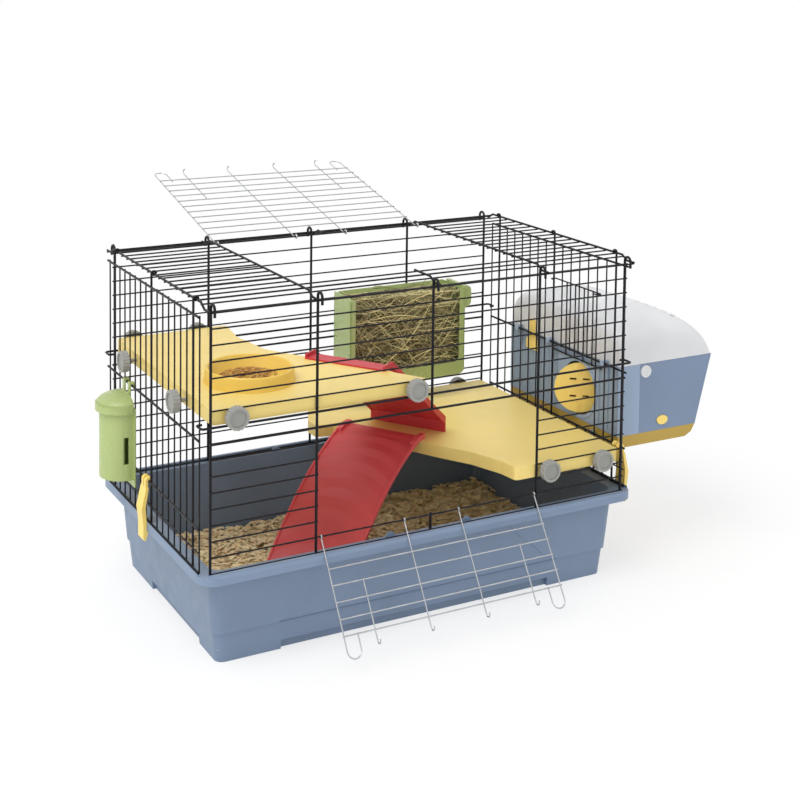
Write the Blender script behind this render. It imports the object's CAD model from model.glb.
"""Looks of a small-animal cage: materials on the CAD frame, rounder mouldings, bedding, hay, seeds.

Lengths are in metres and turns in radians. X runs towards the carrier, Y to the back and Z up.
"""

import math

import bmesh
import bpy
import numpy as np
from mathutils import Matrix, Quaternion, Vector


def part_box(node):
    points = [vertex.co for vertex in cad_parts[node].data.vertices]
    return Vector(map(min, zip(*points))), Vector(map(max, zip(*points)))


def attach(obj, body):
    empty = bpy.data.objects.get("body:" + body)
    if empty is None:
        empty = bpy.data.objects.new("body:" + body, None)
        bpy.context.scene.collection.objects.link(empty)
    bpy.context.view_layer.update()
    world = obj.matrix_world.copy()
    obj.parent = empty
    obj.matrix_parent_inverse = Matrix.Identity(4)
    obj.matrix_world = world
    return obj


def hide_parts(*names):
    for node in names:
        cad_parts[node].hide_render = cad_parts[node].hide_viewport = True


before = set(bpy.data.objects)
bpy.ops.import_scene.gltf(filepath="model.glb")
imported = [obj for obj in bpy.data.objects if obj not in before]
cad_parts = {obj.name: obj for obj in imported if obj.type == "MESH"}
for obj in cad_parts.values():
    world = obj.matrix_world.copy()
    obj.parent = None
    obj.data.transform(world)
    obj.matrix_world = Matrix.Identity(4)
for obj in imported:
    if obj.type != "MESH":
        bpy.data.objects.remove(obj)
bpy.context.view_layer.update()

bl_info = {
    "name": "Small animal cage",
    "version": (1, 0, 0),
    "blender": (4, 5, 0),
    "location": "3D View > Sidebar > Cage",
    "description": "Dresses a wire cage with its materials, bedding, hay and seeds",
    "category": "Object",
}

SEED = 7
PICTURE_WIDTH = 800

# Light. To a ray that looks at it, the floor is part plain white near the cage and wholly white far away.
SKY_LIGHT = 0.8
KEY_PLACE = (-2.4, -1.0, 4.4)
KEY_AIM = (0, 0, 0.3)
KEY_SIZE = 3.0
KEY_WATTS = 125
FLOOR_HALF = 12
FLOOR_WHITE = 0.65
FLOOR_FADE = (0.75, 1.45)

# The rack's back stands in line with the platforms' back edges. Its two hooks reach over a stay wire.
RACK_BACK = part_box("upper_platform")[1].y
RACK_HOOKS = (0.088, 0.248)
RACK_HOOK_Z = 0.3813
RACK_HOOK_WIDTH = 0.01

# The long ramp's own frame starts at the middle of the deck edge that it hangs on, with +X downhill.
DECK_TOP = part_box("lower_platform")[1].z
RAMP_PLACE = (0.0458, 0.027, DECK_TOP)
RAMP_HEADING = math.radians(-146.31)
RAMP_HALF = 0.079
RAMP_REACH = 0.276
RAMP_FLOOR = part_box("long_ramp")[0].z - DECK_TOP
# Its lip lies flat on the deck between two clips, and a low rail runs down each side.
LIP_END = 0.003
CLIP_END = 0.024
CLIP_INSIDE = 0.0688
RAIL_INSIDE = 0.0757
# Its foot ridges: RIDGE_ARCH bends them uphill by the square of Y, and each peaks at a share of its pitch.
RIDGE_PITCH = 0.034
RIDGE_HEIGHT = 0.003
RIDGE_ARCH = 4.2
RIDGE_CREST = 0.55
RIDGE_SPAN = (0.012, 0.27)

# The lid's frame starts at the cage side of its lower edge, in the middle.
LID_LOW, LID_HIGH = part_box("carrier_lid")
LID_SEAM = 0.3578
LID_PLACE = (LID_LOW.x, (LID_LOW.y + LID_HIGH.y) / 2, LID_SEAM)
LID_REACH = 0.2116
LID_HALF = (LID_HIGH.y - LID_LOW.y) / 2
LID_HEIGHT = LID_HIGH.z - LID_SEAM
LID_WALL = 0.0025
LID_HINGE = (0.2156, 0.1, 0.0007)
KNUCKLE_RADIUS = 0.0035
KNUCKLE_HALF = 0.00585
# Its side view, as reach from the cage and share of the height, before it is smoothed.
LID_SIDE = ((0, 0), (0, 0.3), (0, 0.56), (0.002, 0.76), (0.008, 0.89), (0.02, 0.96), (0.04, 0.985),
            (0.07, 1), (0.1, 0.995), (0.13, 0.965), (0.155, 0.9), (0.175, 0.79), (0.19, 0.65),
            (0.2, 0.48), (0.2065, 0.3), (0.2105, 0.12), (0.2116, 0))
VENT_SHADOW = "#5A5F66"

BLACK_WIRE_NODES = ("front_panel", "back_panel", "left_panel", "right_panel", "roof_panel", "side_door")
BRIGHT_WIRE_NODES = ("front_door", "roof_door", "hinge_pins")


def linear(code):
    """A colour written as #RRGGBB, in the linear values that Blender mixes."""
    parts = [int(code[i : i + 2], 16) / 255 for i in (1, 3, 5)]
    return tuple(p / 12.92 if p <= 0.04045 else ((p + 0.055) / 1.055) ** 2.4 for p in parts)


def colour(name, code, text):
    """A colour that a user can change."""
    return bpy.props.FloatVectorProperty(
        name=name, description=text, subtype="COLOR", size=3, min=0, max=1, default=linear(code)
    )


def length(name, value, text):
    """A length that a user can change."""
    return bpy.props.FloatProperty(
        name=name, description=text, default=value, min=0, unit="LENGTH", subtype="DISTANCE"
    )


# ---------------------------------------------------------------- settings


class CageColours(bpy.types.PropertyGroup):
    tray: colour("Tray", "#798BA4", "Moulded tray")
    wire: colour("Wire", "#101016", "Coated wire of the panels")
    bright: colour("Bright wire", "#C4C6C9", "Plated wire of the doors")
    deck: colour("Platforms", "#EBCF7C", "Both platforms")
    bowl: colour("Food bowl", "#EBC65C", "Food bowl")
    knob: colour("Knobs", "#94948F", "Screws' knobs and nuts")
    ramp: colour("Long ramp", "#DA565B", "Long ramp")
    short_ramp: colour("Short ramp", "#C2343D", "Short ramp")
    rack: colour("Hay rack", "#B5C785", "Hay rack")
    feeder: colour("Feeder", "#B5C681", "Feeder and its lid")
    latch: colour("Latches", "#F8D272", "Latches, round door and vent buttons")
    base: colour("Carrier base", "#B09342", "Carrier's base tray")
    body: colour("Carrier body", "#7587A0", "Carrier's body")
    collar: colour("Carrier collar", "#8FA1B8", "Carrier's collar and doorway ring")
    lid: colour("Carrier lid", "#F8F9FB", "Frosted lid and its buttons")
    chips: colour("Shavings", "#FFE3B8", "Wood shavings")
    hay: colour("Hay", "#CDB888", "Hay")
    seeds: colour("Seeds", "#B98A45", "Seeds in the bowl")


class CageSizes(bpy.types.PropertyGroup):
    bed_depth: length("Bedding depth", 0.034, "Height of the shavings over the tray's underside")
    chip_length: length("Shaving length", 0.013, "Length of a middling shaving")
    straw_width: length("Hay width", 0.0015, "Width of one blade of hay")
    seed_length: length("Seed length", 0.0065, "Length of one seed")
    chip_count: bpy.props.IntProperty(
        name="Shavings", description="Number of loose shavings", default=15000, min=100
    )
    straw_count: bpy.props.IntProperty(
        name="Hay blades", description="Number of blades of hay", default=1300, min=10
    )
    seed_count: bpy.props.IntProperty(
        name="Seeds", description="Number of seeds in the bowl", default=420, min=10
    )


class CageCamera(bpy.types.PropertyGroup):
    eye: bpy.props.FloatVectorProperty(
        name="Place", description="Place of the camera", size=3, unit="LENGTH",
        subtype="TRANSLATION", default=(-1.1848, -2.2075, 1.1045),
    )
    azimuth: bpy.props.FloatProperty(
        name="Azimuth", description="Way round the cage", subtype="ANGLE", unit="ROTATION",
        default=math.radians(-27.741),
    )
    elevation: bpy.props.FloatProperty(
        name="Elevation", description="Angle over the horizon", subtype="ANGLE", unit="ROTATION",
        default=math.radians(4.043),
    )
    roll: bpy.props.FloatProperty(
        name="Roll", description="Turn about the line of sight", subtype="ANGLE", unit="ROTATION",
        default=math.radians(0.584),
    )
    focal: bpy.props.FloatProperty(
        name="Focal length", description="Focal length in pixels of the picture", default=1455.7
    )
    centre: bpy.props.FloatVectorProperty(
        name="Picture centre", description="Where the line of sight meets the picture, in pixels",
        size=2, default=(357.8, 45.0),
    )


# ---------------------------------------------------------------- materials


def new_material(name):
    """A material with an empty Principled shader, and its node tree."""
    mat = bpy.data.materials.new(name)
    mat.use_nodes = True
    return mat, mat.node_tree, mat.node_tree.nodes["Principled BSDF"]


def add(tree, kind, **values):
    """A node whose named inputs are set. An underscore in a name stands for a space."""
    node = tree.nodes.new(kind)
    for key, value in values.items():
        node.inputs[key.replace("_", " ")].default_value = value
    return node


def noise_at(tree, scale, detail=4.0):
    """Noise in the part's own metres."""
    place = tree.nodes.new("ShaderNodeTexCoord")
    noise = add(tree, "ShaderNodeTexNoise", Scale=scale, Detail=detail)
    tree.links.new(place.outputs["Object"], noise.inputs["Vector"])
    return noise


def ranged(tree, source, low, high):
    """A noise value spread over a range."""
    node = add(tree, "ShaderNodeMapRange", From_Min=0.3, From_Max=0.7, To_Min=low, To_Max=high)
    tree.links.new(source, node.inputs["Value"])
    return node.outputs["Result"]


def mixed(tree, factor, first, second):
    """Two colours mixed by a factor. Each is a colour or another node's output."""
    node = tree.nodes.new("ShaderNodeMix")
    node.data_type = "RGBA"
    tree.links.new(factor, node.inputs["Factor"])
    for socket, value in ((node.inputs[6], first), (node.inputs[7], second)):
        if isinstance(value, bpy.types.NodeSocket):
            tree.links.new(value, socket)
        else:
            socket.default_value = (*value, 1)
    return node.outputs[2]


def tint(rgb, amount):
    """A colour made lighter or darker, kept under white."""
    return tuple(min(1.0, c * amount) for c in rgb)


def edge_factor(tree, strength):
    """High along outer edges, where handling wears a surface."""
    geometry = tree.nodes.new("ShaderNodeNewGeometry")
    node = add(tree, "ShaderNodeMapRange", From_Min=0.52, From_Max=0.62, To_Min=0, To_Max=strength)
    tree.links.new(geometry.outputs["Pointiness"], node.inputs["Value"])
    return node.outputs["Result"]


def bumped(tree, shader, height, strength, distance):
    """Gives a shader a relief."""
    bump = add(tree, "ShaderNodeBump", Strength=strength, Distance=distance)
    tree.links.new(height, bump.inputs["Height"])
    tree.links.new(bump.outputs["Normal"], shader.inputs["Normal"])


def moulded_plastic(name, rgb, rough=0.38, grain=900, bump=0.12, clear=0.0, glow=0.0):
    """Injection-moulded plastic: faint flow marks, fine grain and paler, rubbed edges.

    clear lets light through, and glow spreads it under the surface.
    """
    mat, tree, shader = new_material(name)
    flow = noise_at(tree, 9.0)
    body = mixed(tree, ranged(tree, flow.outputs["Fac"], 0, 1), tint(rgb, 0.94), tint(rgb, 1.04))
    worn = mixed(tree, edge_factor(tree, 0.35), body, tint(rgb, 1.3))
    tree.links.new(worn, shader.inputs["Base Color"])
    smears = ranged(tree, noise_at(tree, 38.0).outputs["Fac"], rough - 0.05, rough + 0.08)
    tree.links.new(smears, shader.inputs["Roughness"])
    bumped(tree, shader, noise_at(tree, grain, 2.0).outputs["Fac"], bump, 0.0004)
    shader.inputs["Subsurface Weight"].default_value = glow
    shader.inputs["Subsurface Radius"].default_value = (0.006, 0.006, 0.006)
    shader.inputs["Transmission Weight"].default_value = clear
    shader.inputs["IOR"].default_value = 1.46
    return mat


def coated_wire(name, rgb):
    """Powder-coated wire: dark, half gloss, with a slight orange-peel surface."""
    mat, tree, shader = new_material(name)
    patch = noise_at(tree, 60.0)
    body = mixed(tree, ranged(tree, patch.outputs["Fac"], 0, 1), tint(rgb, 0.8), tint(rgb, 1.5))
    tree.links.new(body, shader.inputs["Base Color"])
    tree.links.new(ranged(tree, patch.outputs["Fac"], 0.34, 0.5), shader.inputs["Roughness"])
    shader.inputs["Specular IOR Level"].default_value = 0.25
    bumped(tree, shader, noise_at(tree, 1400.0, 2.0).outputs["Fac"], 0.2, 0.0002)
    return mat


def plated_wire(name, rgb):
    """Zinc-plated wire: bright metal with faint drawing marks and duller patches."""
    mat, tree, shader = new_material(name)
    patch = noise_at(tree, 45.0)
    body = mixed(tree, ranged(tree, patch.outputs["Fac"], 0, 1), tint(rgb, 0.86), tint(rgb, 1.06))
    tree.links.new(body, shader.inputs["Base Color"])
    tree.links.new(ranged(tree, patch.outputs["Fac"], 0.2, 0.36), shader.inputs["Roughness"])
    shader.inputs["Metallic"].default_value = 1.0
    bumped(tree, shader, noise_at(tree, 2200.0, 2.0).outputs["Fac"], 0.15, 0.0002)
    return mat


def plant_stuff(name, rgb, spread, rough=0.8):
    """Wood, straw or seed: each piece has its own shade within the spread, with fine streaks."""
    mat, tree, shader = new_material(name)
    geometry = tree.nodes.new("ShaderNodeNewGeometry")
    random = geometry.outputs["Random Per Island"]
    body = mixed(tree, random, tint(rgb, 1 - spread), tint(rgb, 1 + spread))
    streak = noise_at(tree, 420.0, 6.0)
    shaded = mixed(tree, ranged(tree, streak.outputs["Fac"], 0, 0.3), body, tint(rgb, 0.8))
    tree.links.new(shaded, shader.inputs["Base Color"])
    shader.inputs["Roughness"].default_value = rough
    shader.inputs["Subsurface Weight"].default_value = 0.25
    shader.inputs["Subsurface Radius"].default_value = (0.004, 0.003, 0.002)
    bumped(tree, shader, streak.outputs["Fac"], 0.4, 0.0004)
    return mat


def paint(material, *names):
    """Gives CAD nodes a material."""
    for name in names:
        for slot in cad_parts[name].material_slots:
            slot.material = material


# ---------------------------------------------------------------- loose stuff


def put_in_scene(name, mesh, material):
    """The object for a mesh, linked to the scene and with its material."""
    piece = bpy.data.objects.new(name, mesh)
    bpy.context.scene.collection.objects.link(piece)
    mesh.materials.append(material)
    return piece


def grid_faces(rows, columns, start=0):
    """Quads between the points of a grid."""
    first = (np.arange(rows - 1)[:, None] * columns + np.arange(columns - 1)[None, :]).ravel() + start
    return np.stack([first, first + 1, first + columns + 1, first + columns], -1)


def mesh_piece(name, points, faces, material):
    """A new smooth piece that rides with the cage."""
    mesh = bpy.data.meshes.new(name)
    mesh.from_pydata(points.tolist(), [], faces.tolist())
    mesh.validate()
    mesh.shade_smooth()
    piece = put_in_scene(name, mesh, material)
    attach(piece, "cage")


def turned(rng, count, tilt):
    """Random turns as matrices: a free heading, and a tilt spread about level by the angle given."""
    heading = rng.uniform(0, 2 * math.pi, count)
    lean = rng.normal(0, tilt, count)
    zero, one = np.zeros(count), np.ones(count)
    c, s = np.cos(heading), np.sin(heading)
    about_z = np.array([[c, -s, zero], [s, c, zero], [zero, zero, one]])
    c, s = np.cos(lean), np.sin(lean)
    about_x = np.array([[one, zero, zero], [zero, c, -s], [zero, s, c]])
    return about_z.transpose(2, 0, 1) @ about_x.transpose(2, 0, 1)


def bed_height(x, y, depth):
    """The bedding's uneven top."""
    wave_height = 0.0035
    wave = np.sin(11 * x + 2) * np.cos(13 * y) + 0.6 * np.sin(29 * x + 17 * y)
    return depth + wave_height * wave


def bed_limits():
    """Half length and half depth of the bedding, just inside the tray's walls."""
    low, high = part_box("tray")
    wall_inset = 0.0425
    return (high[0] - low[0]) / 2 - wall_inset, (high[1] - low[1]) / 2 - wall_inset


def bedding_base(depth, material):
    """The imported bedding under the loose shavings, a sheet with its edge turned down."""
    half_x, half_y = bed_limits()
    columns, rows = 96, 56
    under_chips, edge_drop, edge_width = 0.004, 0.014, 0.001
    x, y = np.meshgrid(np.linspace(-half_x, half_x, columns), np.linspace(-half_y, half_y, rows))
    edge = (np.abs(x) > half_x - edge_width) | (np.abs(y) > half_y - edge_width)
    z = np.where(edge, depth - edge_drop, bed_height(x, y, depth - under_chips))
    points = np.stack([x, y, z], -1).reshape(-1, 3)
    mesh_piece("bedding_base", points, grid_faces(rows, columns), material)


def shavings(sizes, material):
    """Loose curled shavings, each a strip bent along its length."""
    rng = np.random.default_rng(SEED)
    count = sizes.chip_count
    half_x, half_y = bed_limits()
    margin, lift, tilt = 0.008, 0.004, 0.27
    # Shares of a shaving's length, and of the middling one for the first.
    long_share, wide_share, curl_share = (0.45, 1.3), (0.25, 0.6), (-0.12, 0.3)
    x = rng.uniform(margin - half_x, half_x - margin, count)
    y = rng.uniform(margin - half_y, half_y - margin, count)
    z = bed_height(x, y, sizes.bed_depth) + rng.uniform(-lift, lift, count)
    long = sizes.chip_length * rng.uniform(*long_share, count)
    wide = long * rng.uniform(*wide_share, count)
    curl = long * rng.uniform(*curl_share, count)
    steps = 5
    u = np.linspace(-0.5, 0.5, steps)
    points = np.zeros((count, steps, 2, 3))
    points[..., 0] = (long[:, None] * u)[:, :, None]
    points[..., 1] = wide[:, None, None] * (-0.5, 0.5)
    points[..., 2] = (curl[:, None] * (0.25 - u**2) * 2)[:, :, None]
    points = points.reshape(count, -1, 3)
    points = np.einsum("nij,npj->npi", turned(rng, count, tilt), points)
    points += np.stack([x, y, z], -1)[:, None, :]
    strip = np.array([[2 * i, 2 * i + 2, 2 * i + 3, 2 * i + 1] for i in range(steps - 1)])
    faces = (strip[None] + (np.arange(count) * steps * 2)[:, None, None]).reshape(-1, 4)
    mesh_piece("shavings", points.reshape(-1, 3), faces, material)


def hay(sizes, material):
    """Blades of hay packed crosswise in the rack, each a thin three-sided tube."""
    rng = np.random.default_rng(SEED + 1)
    low, high = (np.array(corner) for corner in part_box("hay_rack"))
    # The blades stay clear of the rack's walls and floor, of its ear and of its hooks.
    lo = low + np.array([0.004, 0.006, 0.012])
    hi = high - np.array([0.02, 0.016, 0.008])
    count, steps, sides = sizes.straw_count, 7, 3
    slant, drift, half_length, sag = 0.75, 0.16, (0.03, 0.12), 0.014
    middle = rng.uniform(lo, hi, (count, 3))
    angle = rng.normal(0, slant, count)
    heading = np.stack([np.cos(angle), rng.normal(0, drift, count), np.sin(angle)], -1)
    heading /= np.linalg.norm(heading, axis=1)[:, None]
    reach = rng.uniform(*half_length, count)
    bow = rng.normal(0, sag, (count, 3))
    u = np.linspace(-1, 1, steps)
    path = middle[:, None, :] + heading[:, None, :] * (reach[:, None] * u)[..., None]
    path += bow[:, None, :] * (1 - u[:, None] ** 2)
    # A few loose blades stand up over the rim.
    loose_share, loose_rise = 0.05, 0.014
    loose = (rng.uniform(0, 1, count) < loose_share)[:, None, None] * np.array([0, 0, loose_rise])
    path = np.clip(path, lo, hi + loose)
    radius = sizes.straw_width / 2 * rng.uniform(0.6, 1.3, count)
    corners = np.array([[0, math.cos(a), math.sin(a)] for a in (0, 2.1, 4.2)])
    tube = path[:, :, None, :] + corners * radius[:, None, None, None]
    blade = [[a + j, a + (j + 1) % sides, a + sides + (j + 1) % sides, a + sides + j]
             for a in range(0, sides * (steps - 1), sides) for j in range(sides)]
    faces = np.array(blade) + (np.arange(count) * steps * sides)[:, None, None]
    mesh_piece("hay", tube.reshape(-1, 3), faces.reshape(-1, 4), material)


def seed_shape():
    """Points and faces of one seed: an oval pointed at both ends, one unit long."""
    around, rings = 7, 5
    half_wide, half_thick = 0.24, 0.17
    points = [(-0.5, 0, 0)]
    for i in range(1, rings):
        t = math.pi * i / rings
        points += [(-0.5 * math.cos(t), half_wide * math.sin(t) * math.cos(2 * math.pi * j / around),
                    half_thick * math.sin(t) * math.sin(2 * math.pi * j / around)) for j in range(around)]
    points.append((0.5, 0, 0))
    last = len(points) - 1
    faces = [[0, 1 + (j + 1) % around, 1 + j] for j in range(around)]
    for a in range(1, last - around, around):
        faces += [[a + j, a + (j + 1) % around, a + around + (j + 1) % around, a + around + j]
                  for j in range(around)]
    a = last - around
    faces += [[a + j, a + (j + 1) % around, last] for j in range(around)]
    return np.array(points), faces


def seeds(sizes, material):
    """Seeds heaped in the bowl's hollow."""
    rng = np.random.default_rng(SEED + 2)
    low, high = (np.array(corner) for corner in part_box("food_bowl"))
    centre = (low + high) / 2
    bowl_side, bowl_floor, heap_height, tilt = 0.024, 0.0055, 0.006, 0.35
    hollow = (high[0] - low[0]) / 2 - bowl_side
    count = sizes.seed_count
    away = hollow * np.sqrt(rng.uniform(0, 1, count))
    angle = rng.uniform(0, 2 * math.pi, count)
    heap = heap_height * (1 - (away / hollow) ** 2)
    place = np.stack([centre[0] + away * np.cos(angle), centre[1] + away * np.sin(angle),
                      low[2] + bowl_floor + heap * rng.uniform(0.2, 1, count)], -1)
    points, faces = seed_shape()
    grown = points[None] * (sizes.seed_length * rng.uniform(0.7, 1.2, count))[:, None, None]
    grown = np.einsum("nij,npj->npi", turned(rng, count, tilt), grown) + place[:, None, :]
    mesh = bpy.data.meshes.new("seeds")
    offsets = range(0, count * len(points), len(points))
    mesh.from_pydata(grown.reshape(-1, 3).tolist(), [],
                     [[v + start for v in face] for start in offsets for face in faces])
    mesh.shade_smooth()
    piece = put_in_scene("seeds", mesh, material)
    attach(piece, "cage")


# ---------------------------------------------------------------- curved mouldings


def closed_shell(outer, inner):
    """Points and faces of a thin moulding: two like grids joined round their edge."""
    rows, columns = outer.shape[:2]
    count = rows * columns
    # Round the edge: along the first row, down the last column, back, and up the first column.
    edge = np.concatenate([
        np.arange(columns), columns * np.arange(2, rows + 1) - 1,
        count - 2 - np.arange(columns - 1), columns * np.arange(rows - 2, 0, -1),
    ])
    after = np.roll(edge, -1)
    wall = np.stack([edge, after, after + count, edge + count], -1)
    faces = np.concatenate([grid_faces(rows, columns), grid_faces(rows, columns, count), wall])
    return np.concatenate([outer.reshape(-1, 3), inner.reshape(-1, 3)]), faces


def joined(name, parts, material, body, sharp=0.6):
    """One piece from several sets of points and faces, smooth but for edges over the sharp angle."""
    points, faces = [], []
    for part_points, part_faces in parts:
        start = len(points)
        points += part_points.tolist()
        faces += [[int(v) + start for v in face] for face in part_faces]
    mesh = bpy.data.meshes.new(name)
    mesh.from_pydata(points, [], faces)
    work = bmesh.new()
    work.from_mesh(mesh)
    bmesh.ops.remove_doubles(work, verts=work.verts, dist=1e-6)
    bmesh.ops.recalc_face_normals(work, faces=work.faces)
    work.to_mesh(mesh)
    work.free()
    mesh.shade_smooth()
    mesh.set_sharp_from_angle(angle=sharp)
    piece = put_in_scene(name, mesh, material)
    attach(piece, body)
    return piece


def round_bar(centre, radius, half, sides=24):
    """A short bar that lies along Y, each end closed by a fan round its middle."""
    turn = np.linspace(0, 2 * math.pi, sides, endpoint=False)
    ring = np.stack([radius * np.cos(turn), np.zeros(sides), radius * np.sin(turn)], -1)
    points = np.concatenate([ring + (0, -half, 0), ring + (0, half, 0), [(0, -half, 0), (0, half, 0)]])
    i = np.arange(sides)
    j = (i + 1) % sides
    faces = np.stack([i, j, j + sides, i + sides], -1).tolist()
    for start, middle in ((0, 2 * sides), (sides, 2 * sides + 1)):
        faces += np.stack([i + start, j + start, np.full(sides, middle)], -1).tolist()
    return points + centre, faces


def block(low, high):
    """A square block between two corners."""
    ends = list(zip(low, high))
    points = np.array([(x, y, z) for x in ends[0] for y in ends[1] for z in ends[2]])
    return points, [(0, 1, 3, 2), (4, 6, 7, 5), (0, 4, 5, 1), (2, 3, 7, 6), (0, 2, 6, 4), (1, 5, 7, 3)]


def rounded_outline(low, high, radii=(0, 0, 0, 0)):
    """A rectangle's outline with a radius for each corner, from the lower left one anticlockwise."""
    steps = 6
    signs = ((1, 1), (-1, 1), (-1, -1), (1, -1))
    corners = (low, (high[0], low[1]), high, (low[0], high[1]))
    outline = []
    for i, ((x, z), (sx, sz), radius) in enumerate(zip(corners, signs, radii)):
        for step in range(steps + 1 if radius else 1):
            turn = math.pi + math.pi / 2 * (i + step / steps)
            outline.append((x + radius * (sx + math.cos(turn)), z + radius * (sz + math.sin(turn))))
    return outline


def plate(outline, start, end, axis):
    """An outline drawn out along X or Y, axis 0 or 1. Its own axes are the other two, in order."""
    count = len(outline)
    layers = [np.insert(np.array(outline), axis, place, axis=1) for place in (start, end)]
    i = np.arange(count)
    j = (i + 1) % count
    sides = np.stack([i, j, j + count, i + count], -1).tolist()
    return np.concatenate(layers), [list(range(count)), list(range(count, 2 * count)), *sides]


def rack_front(left, right, floor, top):
    """The rack's front, a U: down its outside, then back up the inside of its opening."""
    arm, foot, drop, corner = 0.011, 0.024, 0.004, 0.012
    radii = (corner, corner, 0, 0)
    outside = rounded_outline((left, floor), (right, top), radii)[:-2]
    inside = rounded_outline((left + arm, floor + foot), (right - arm, top), radii)[:-2]
    end = top - drop
    return [(left, end), *outside, (right, end), (right - arm, end), *inside[::-1], (left + arm, end)]


def rack_hook(x, back, tip):
    """A tongue through the back panel and the tip that hangs down behind its stay wire."""
    tongue_height, tip_width, tip_drop, tip_rise, overlap = 0.003, 0.0025, 0.005, 0.002, 0.001
    right = x + RACK_HOOK_WIDTH
    tongue = rounded_outline((x, RACK_HOOK_Z), (right, RACK_HOOK_Z + tongue_height))
    hanging = rounded_outline((x, RACK_HOOK_Z - tip_drop), (right, RACK_HOOK_Z + tip_rise))
    return [plate(tongue, back - overlap, tip, 1), plate(hanging, tip - tip_width, tip, 1)]


def rounded_rack(material):
    """The hay rack with rounded corners: open at its top and front, with a rounded ear."""
    low, high = (np.array(corner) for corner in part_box("hay_rack"))
    wall, ear_width, ear_height, floor_inset, overlap = 0.0025, 0.014, 0.042, 0.004, 0.001
    left, right, front, back = low[0], high[0] - ear_width, low[1], RACK_BACK
    floor, top = low[2], high[2]
    corner, rear_top, side_top, ear_radii = 0.012, 0.014, 0.009, (0.004, 0.012, 0.01, 0.002)
    rear = rounded_outline((left, floor), (right, top), (corner, corner, rear_top, rear_top))
    side = rounded_outline((front, floor), (back, top), (corner, 0, 0, side_top))
    bottom = rounded_outline((left + floor_inset, floor), (right - floor_inset, floor + wall))
    ear = rounded_outline((right - overlap, top - ear_height), (high[0], top), ear_radii)
    parts = [
        plate(rack_front(left, right, floor, top), front, front + wall, 1),
        plate(rear, back - wall, back, 1),
        plate(side, left, left + wall, 0),
        plate(side, right - wall, right, 0),
        plate(bottom, front + floor_inset, back, 1),
        plate(ear, front, back, 1),
    ]
    for x in RACK_HOOKS:
        parts += rack_hook(x, back, high[1])
    piece = joined("rounded_rack", parts, material, "cage")
    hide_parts("hay_rack")


def ramp_line(t):
    """Height of the ramp's upper side along its middle: it falls ever more steeply."""
    return 0.004 - 0.22 * t - 1.6 * t * t


def ramp_surface(t, y):
    """Height of the ramp's upper side, with foot ridges that arch uphill in the middle."""
    lip_height, rail_height, clip_height, fade, flattening = 0.003, 0.0045, 0.006, 0.01, 0.45
    slope = np.where(t < LIP_END, lip_height, ramp_line(t))
    phase = ((t - RIDGE_ARCH * y * y) / RIDGE_PITCH) % 1.0
    tread = np.minimum(phase / RIDGE_CREST, (1 - phase) / (1 - RIDGE_CREST))
    taper = 1 - flattening * (y / RAMP_HALF) ** 2
    ends = np.clip((t - RIDGE_SPAN[0]) / fade, 0, 1) * np.clip((RIDGE_SPAN[1] - t) / fade, 0, 1)
    ridge = RIDGE_HEIGHT * tread * taper * ends * (np.abs(y) < RAIL_INSIDE)
    rail = np.where(np.abs(y) > RAIL_INSIDE, rail_height, 0)
    clip = np.where((np.abs(y) > CLIP_INSIDE) & (t < CLIP_END), clip_height, 0)
    return slope + ridge + np.maximum(rail, clip)


def arched_ramp(material):
    """The long ramp with its arched foot ridges, over the deck's slanting edge."""
    lip_back, bend, lip_under, thick, foot_wall = 0.016, 0.006, 0.0002, 0.0031, 0.0025
    # Where the surface steps, two rows of points stand this far before and behind the step.
    gap = 0.0002
    outer = np.concatenate([np.linspace(CLIP_INSIDE + gap, RAIL_INSIDE - gap, 4),
                            [RAIL_INSIDE + gap, RAMP_HALF]])
    inner = np.linspace(gap - CLIP_INSIDE, CLIP_INSIDE - gap, 44)
    across = np.concatenate([-outer[::-1], inner, outer])
    along = np.concatenate([[-lip_back, -bend, LIP_END - gap, LIP_END + gap],
                            np.linspace(bend, CLIP_END - gap, 8),
                            np.linspace(CLIP_END + gap, RAMP_REACH, 150)])
    t, y = np.meshgrid(along, across, indexing="ij")
    under = np.where(t < LIP_END, lip_under, ramp_line(t) - thick)
    upper = np.stack([t, y, ramp_surface(t, y)], -1)
    lower = np.stack([np.minimum(t, RAMP_REACH - foot_wall), y, under], -1)
    # A last row takes both surfaces straight down to the tray's floor.
    foot = np.stack([np.full_like(across, RAMP_REACH), across, np.full_like(across, RAMP_FLOOR)], -1)
    upper = np.concatenate([upper, foot[None]])
    lower = np.concatenate([lower, foot[None] - (foot_wall, 0, 0)])
    c, s = math.cos(RAMP_HEADING), math.sin(RAMP_HEADING)
    turn = np.array([[c, s, 0], [-s, c, 0], [0, 0, 1]])
    points, faces = closed_shell(upper, lower)
    piece = joined("arched_ramp", [(points @ turn + RAMP_PLACE, faces)], material, "cage", sharp=0.5)
    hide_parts("long_ramp")


def lid_side():
    """The lid's smoothed side view: reach from the cage, and share of its height."""
    corners = np.array(LID_SIDE)
    count, rounds, rough_height = 72, 4, 0.08
    step = np.hypot(*np.diff(corners * (1, rough_height), axis=0).T)
    walk = np.concatenate([[0], np.cumsum(step)])
    even = np.linspace(0, walk[-1], count)
    x, z = np.interp(even, walk, corners[:, 0]), np.interp(even, walk, corners[:, 1])
    for _ in range(rounds):
        x[1:-1] = (x[:-2] + 2 * x[1:-1] + x[2:]) / 4
        z[1:-1] = (z[:-2] + 2 * z[1:-1] + z[2:]) / 4
    return x, z


def lid_fall(share):
    """Share of its height that the lid keeps towards its two long sides, a squarish arch."""
    squareness = 5
    return (1 - np.abs(share) ** squareness) ** (1 / squareness)


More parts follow.
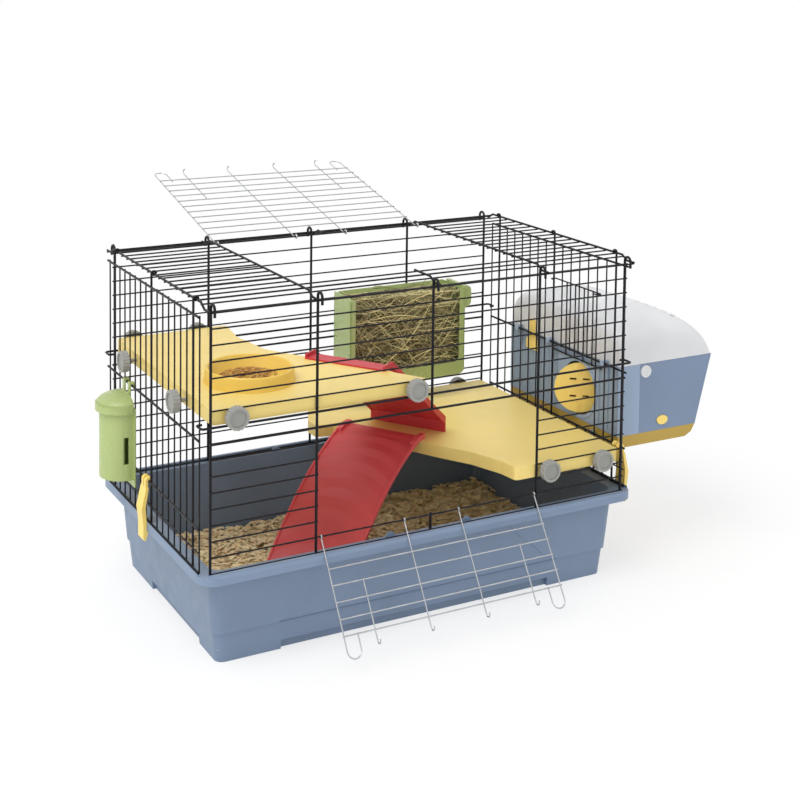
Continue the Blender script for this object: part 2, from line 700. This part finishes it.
def lid_vents(x, z, frost, shadow):
    """Two rows of vents near the lid's far end: raised rims round dark discs."""
    first_x, first_y, pitch, row_x, row_y = 0.150, -0.130, 0.026, 0.014, 0.013
    rows, row_vents, sides = 2, 6, 20
    # Each rim is three rings of points: its foot, its crest and its inner edge.
    radii = np.array([0.0048, 0.0043, 0.0036])[:, None]
    rises = np.array([-0.0002, 0.0014, 0.0006])[:, None]
    disc_drop = 0.0002
    turn = np.linspace(0, 2 * math.pi, sides, endpoint=False)
    crown = int(np.argmax(z))
    rims, discs = [], []
    for row in range(rows):
        for i in range(row_vents):
            rx = first_x + row_x * row + radii * np.cos(turn)
            ry = first_y + pitch * i + row_y * row + radii * np.sin(turn)
            rz = LID_HEIGHT * np.interp(rx, x[crown:], z[crown:]) * lid_fall(ry / LID_HALF) + rises
            rings = np.stack([rx, ry, rz], -1)
            closed = np.concatenate([rings, rings[:, :1]], 1)
            rims.append((closed.reshape(-1, 3) + LID_PLACE, grid_faces(3, sides + 1)))
            discs.append((rings[2] - (0, 0, disc_drop) + LID_PLACE, [range(sides)]))
    joined("vent_rims", rims, frost, "carrier_lid")
    joined("vent_holes", discs, shadow, "carrier_lid")


def domed_lid(frost, shadow):
    """The frosted lid, rounded on all sides, with its knuckles and vents."""
    x, z = lid_side()
    # The points stand closer towards the long sides, where the lid turns down.
    half = 1 - (1 - np.linspace(0, 1, 26)) ** 4
    share = np.concatenate([-half[::-1], half[1:]])[:, None]
    fall = lid_fall(share)
    middle, narrowing = LID_REACH / 2, 0.05
    reach = middle + (x - middle) * (1 - narrowing + narrowing * fall)
    outer = np.stack([reach, np.broadcast_to(LID_HALF * share, reach.shape), LID_HEIGHT * z * fall], -1)
    thin = 1 - LID_WALL / np.array([middle, LID_HALF, LID_HEIGHT])
    inner = (outer - (middle, 0, 0)) * thin + (middle, 0, 0)
    parts = [closed_shell(outer, inner)]
    web_low, web_high = np.array([-0.0075, -0.0058, 0.0006]), np.array([-0.001, 0.0058, 0.0032])
    for side in (-1, 1):
        centre = np.array([LID_HINGE[0], side * LID_HINGE[1], LID_HINGE[2]])
        parts.append(round_bar(centre, KNUCKLE_RADIUS, KNUCKLE_HALF))
        parts.append(block(centre + web_low, centre + web_high))
    piece = joined("domed_lid", [(a + LID_PLACE, b) for a, b in parts], frost, "carrier_lid")
    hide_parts("carrier_lid")
    lid_vents(x, z, frost, shadow)


# ---------------------------------------------------------------- stage


def make_camera(settings):
    """The camera at the photograph's place, with its picture centre shifted."""
    a, e = settings.azimuth, settings.elevation
    back = Vector((math.sin(a) * math.cos(e), -math.cos(a) * math.cos(e), math.sin(e)))
    data = bpy.data.cameras.new("camera")
    data.sensor_width = 36
    data.lens = settings.focal / PICTURE_WIDTH * data.sensor_width
    data.shift_x = (PICTURE_WIDTH / 2 - settings.centre[0]) / PICTURE_WIDTH
    data.shift_y = (settings.centre[1] - PICTURE_WIDTH / 2) / PICTURE_WIDTH
    data.clip_end = 50
    camera = bpy.data.objects.new("camera", data)
    camera.location = settings.eye
    camera.rotation_mode = "QUATERNION"
    facing = (-back).to_track_quat("-Z", "Y")
    camera.rotation_quaternion = facing @ Quaternion((0, 0, 1), settings.roll)
    bpy.context.scene.collection.objects.link(camera)
    bpy.context.scene.camera = camera


def make_light():
    """One large, soft lamp over the cage's left front corner."""
    data = bpy.data.lights.new("key", "AREA")
    data.size = KEY_SIZE
    data.energy = KEY_WATTS
    lamp = bpy.data.objects.new("key", data)
    lamp.location = KEY_PLACE
    lamp.rotation_mode = "QUATERNION"
    lamp.rotation_quaternion = (Vector(KEY_AIM) - Vector(KEY_PLACE)).to_track_quat("-Z", "Y")
    bpy.context.scene.collection.objects.link(lamp)


def computed(tree, operation, first, second):
    """A number worked out from two outputs."""
    node = tree.nodes.new("ShaderNodeMath")
    node.operation = operation
    tree.links.new(first, node.inputs[0])
    tree.links.new(second, node.inputs[1])
    return node.outputs[0]


def backdrop_ray(tree):
    """One for rays that look at the backdrop: straight, mirrored or through plastic."""
    path = tree.nodes.new("ShaderNodeLightPath")
    seen = computed(tree, "MAXIMUM", path.outputs["Is Camera Ray"], path.outputs["Is Glossy Ray"])
    return computed(tree, "MAXIMUM", seen, path.outputs["Is Transmission Ray"])


def floor_material():
    """Pale, faintly mottled paint that shows to looking rays as white, the more so far away."""
    mat, tree, shader = new_material("floor")
    mottle = ranged(tree, noise_at(tree, 3.0).outputs["Fac"], 0, 1)
    pale = mixed(tree, mottle, (0.96, 0.96, 0.96), (0.98, 0.98, 0.98))
    tree.links.new(pale, shader.inputs["Base Color"])
    shader.inputs["Roughness"].default_value = 0.9
    glow = add(tree, "ShaderNodeEmission", Color=(1, 1, 1, 1), Strength=1.0)
    place = tree.nodes.new("ShaderNodeTexCoord")
    away = tree.nodes.new("ShaderNodeVectorMath")
    away.operation = "LENGTH"
    tree.links.new(place.outputs["Object"], away.inputs[0])
    fade = add(tree, "ShaderNodeMapRange", From_Min=FLOOR_FADE[0], From_Max=FLOOR_FADE[1],
               To_Min=FLOOR_WHITE, To_Max=1.0)
    fade.interpolation_type = "SMOOTHSTEP"
    tree.links.new(away.outputs["Value"], fade.inputs["Value"])
    blend = tree.nodes.new("ShaderNodeMixShader")
    white = computed(tree, "MULTIPLY", backdrop_ray(tree), fade.outputs["Result"])
    tree.links.new(white, blend.inputs["Fac"])
    tree.links.new(shader.outputs[0], blend.inputs[1])
    tree.links.new(glow.outputs[0], blend.inputs[2])
    tree.links.new(blend.outputs[0], tree.nodes["Material Output"].inputs["Surface"])
    return mat


def make_floor():
    """A wide floor that keeps the cage's shadow."""
    half = FLOOR_HALF
    mesh = bpy.data.meshes.new("floor")
    corners = [(-half, -half, 0), (half, -half, 0), (half, half, 0), (-half, half, 0)]
    mesh.from_pydata(corners, [], [(0, 1, 2, 3)])
    floor = put_in_scene("floor", mesh, floor_material())


def make_world():
    """Even light from all round, seen as white by looking rays."""
    world = bpy.data.worlds.new("world")
    world.use_nodes = True
    tree = world.node_tree
    background = tree.nodes["Background"]
    background.inputs["Color"].default_value = (1, 1, 1, 1)
    level = add(tree, "ShaderNodeMapRange", To_Min=SKY_LIGHT, To_Max=1.0)
    tree.links.new(backdrop_ray(tree), level.inputs["Value"])
    tree.links.new(level.outputs["Result"], background.inputs["Strength"])
    bpy.context.scene.world = world


# ---------------------------------------------------------------- operators


class CAGE_OT_stage(bpy.types.Operator):
    """Make the camera, the light and the floor"""

    bl_idname = "cage.stage"
    bl_label = "Stage"

    def execute(self, context):
        context.scene.view_settings.view_transform = "Standard"
        make_camera(context.scene.cage_camera)
        make_world()
        make_floor()
        make_light()
        return {"FINISHED"}


class CAGE_OT_tray(bpy.types.Operator):
    """Give the tray its moulded plastic"""

    bl_idname = "cage.tray"
    bl_label = "Tray"

    def execute(self, context):
        paint(moulded_plastic("tray_plastic", context.scene.cage_colours.tray, rough=0.42), "tray")
        return {"FINISHED"}


class CAGE_OT_wires(bpy.types.Operator):
    """Coat the panels' wires and plate the doors' wires"""

    bl_idname = "cage.wires"
    bl_label = "Wires"

    def execute(self, context):
        colours = context.scene.cage_colours
        paint(coated_wire("coated_wire", colours.wire), *BLACK_WIRE_NODES)
        paint(plated_wire("plated_wire", colours.bright), *BRIGHT_WIRE_NODES)
        return {"FINISHED"}


class CAGE_OT_platforms(bpy.types.Operator):
    """Give the platforms, bowl, knobs and nuts their plastics"""

    bl_idname = "cage.platforms"
    bl_label = "Platforms"

    def execute(self, context):
        colours = context.scene.cage_colours
        paint(moulded_plastic("deck_plastic", colours.deck, glow=0.08), "upper_platform", "lower_platform")
        paint(moulded_plastic("bowl_plastic", colours.bowl, glow=0.08), "food_bowl")
        knobs = moulded_plastic("knob_plastic", colours.knob, rough=0.48, grain=1500, bump=0.2)
        paint(knobs, "upper_knobs", "lower_knobs", "upper_nuts", "lower_nuts")
        return {"FINISHED"}


class CAGE_OT_ramps(bpy.types.Operator):
    """Fit the arched long ramp and give both ramps their red plastics"""

    bl_idname = "cage.ramps"
    bl_label = "Ramps"

    def execute(self, context):
        colours = context.scene.cage_colours
        arched_ramp(moulded_plastic("ramp_plastic", colours.ramp, rough=0.4))
        paint(moulded_plastic("short_ramp_plastic", colours.short_ramp, rough=0.4), "short_ramp")
        return {"FINISHED"}


class CAGE_OT_feeding(bpy.types.Operator):
    """Fit the rounded hay rack and give it and the feeder their see-through plastics"""

    bl_idname = "cage.feeding"
    bl_label = "Rack and feeder"

    def execute(self, context):
        colours = context.scene.cage_colours
        rounded_rack(moulded_plastic("rack_plastic", colours.rack, rough=0.3, clear=0.25, glow=0.1))
        feeder = moulded_plastic("feeder_plastic", colours.feeder, rough=0.3, clear=0.2, glow=0.15)
        paint(feeder, "feeder_body", "feeder_lid")
        return {"FINISHED"}


class CAGE_OT_latches(bpy.types.Operator):
    """Give the latches, the round door and the vent buttons their yellow plastic"""

    bl_idname = "cage.latches"
    bl_label = "Latches"

    def execute(self, context):
        yellow = moulded_plastic("latch_plastic", context.scene.cage_colours.latch, glow=0.05)
        paint(yellow, "left_latch", "right_latch", "lid_latch", "disc_door", "carrier_vents")
        return {"FINISHED"}


class CAGE_OT_carrier(bpy.types.Operator):
    """Give the carrier's base, body, collar and buttons their plastics and fit its domed lid"""

    bl_idname = "cage.carrier"
    bl_label = "Carrier"

    def execute(self, context):
        colours = context.scene.cage_colours
        paint(moulded_plastic("base_plastic", colours.base), "carrier_base")
        paint(moulded_plastic("body_plastic", colours.body), "carrier_body")
        paint(moulded_plastic("collar_plastic", colours.collar), "carrier_collar", "doorway_ring")
        frost = moulded_plastic("frosted_plastic", colours.lid, rough=0.5, clear=0.3, glow=0.1, bump=0.25)
        paint(frost, "lid_buttons")
        domed_lid(frost, moulded_plastic("vent_shadow", linear(VENT_SHADOW), rough=0.7))
        return {"FINISHED"}


class CAGE_OT_bedding(bpy.types.Operator):
    """Fill the tray with wood shavings"""

    bl_idname = "cage.bedding"
    bl_label = "Shavings"

    def execute(self, context):
        sizes = context.scene.cage_sizes
        material = plant_stuff("shavings", context.scene.cage_colours.chips, 0.16)
        bedding_base(sizes.bed_depth, material)
        shavings(sizes, material)
        return {"FINISHED"}


class CAGE_OT_hay(bpy.types.Operator):
    """Fill the rack with hay"""

    bl_idname = "cage.hay"
    bl_label = "Hay"

    def execute(self, context):
        hay(context.scene.cage_sizes, plant_stuff("hay", context.scene.cage_colours.hay, 0.92))
        return {"FINISHED"}


class CAGE_OT_seeds(bpy.types.Operator):
    """Heap seeds in the food bowl"""

    bl_idname = "cage.seeds"
    bl_label = "Seeds"

    def execute(self, context):
        material = plant_stuff("seeds", context.scene.cage_colours.seeds, 0.45, rough=0.6)
        seeds(context.scene.cage_sizes, material)
        return {"FINISHED"}


OPERATORS = (
    CAGE_OT_stage, CAGE_OT_tray, CAGE_OT_wires, CAGE_OT_platforms, CAGE_OT_ramps, CAGE_OT_feeding,
    CAGE_OT_latches, CAGE_OT_carrier, CAGE_OT_bedding, CAGE_OT_hay, CAGE_OT_seeds,
)


class CAGE_PT_panel(bpy.types.Panel):
    """Lists the cage's operators and settings"""

    bl_idname = "CAGE_PT_panel"
    bl_label = "Cage"
    bl_space_type = "VIEW_3D"
    bl_region_type = "UI"
    bl_category = "Cage"

    def draw(self, context):
        for operator in OPERATORS:
            self.layout.operator(operator.bl_idname)
        for group in (context.scene.cage_sizes, context.scene.cage_colours):
            box = self.layout.box()
            for name in group.__annotations__:
                box.prop(group, name)


CLASSES = (CageColours, CageSizes, CageCamera, *OPERATORS, CAGE_PT_panel)


def register():
    """Adds the add-on's classes and the scene's settings."""
    for item in CLASSES:
        bpy.utils.register_class(item)
    bpy.types.Scene.cage_colours = bpy.props.PointerProperty(type=CageColours)
    bpy.types.Scene.cage_sizes = bpy.props.PointerProperty(type=CageSizes)
    bpy.types.Scene.cage_camera = bpy.props.PointerProperty(type=CageCamera)


def unregister():
    """Takes them out again."""
    del bpy.types.Scene.cage_camera
    del bpy.types.Scene.cage_sizes
    del bpy.types.Scene.cage_colours
    for item in reversed(CLASSES):
        bpy.utils.unregister_class(item)


def main():
    """Dresses the cage."""
    register()
    bpy.ops.cage.stage()
    bpy.ops.cage.tray()
    bpy.ops.cage.wires()
    bpy.ops.cage.platforms()
    bpy.ops.cage.ramps()
    bpy.ops.cage.feeding()
    bpy.ops.cage.latches()
    bpy.ops.cage.carrier()
    bpy.ops.cage.bedding()
    bpy.ops.cage.hay()
    bpy.ops.cage.seeds()


if __name__ == "__main__":
    main()
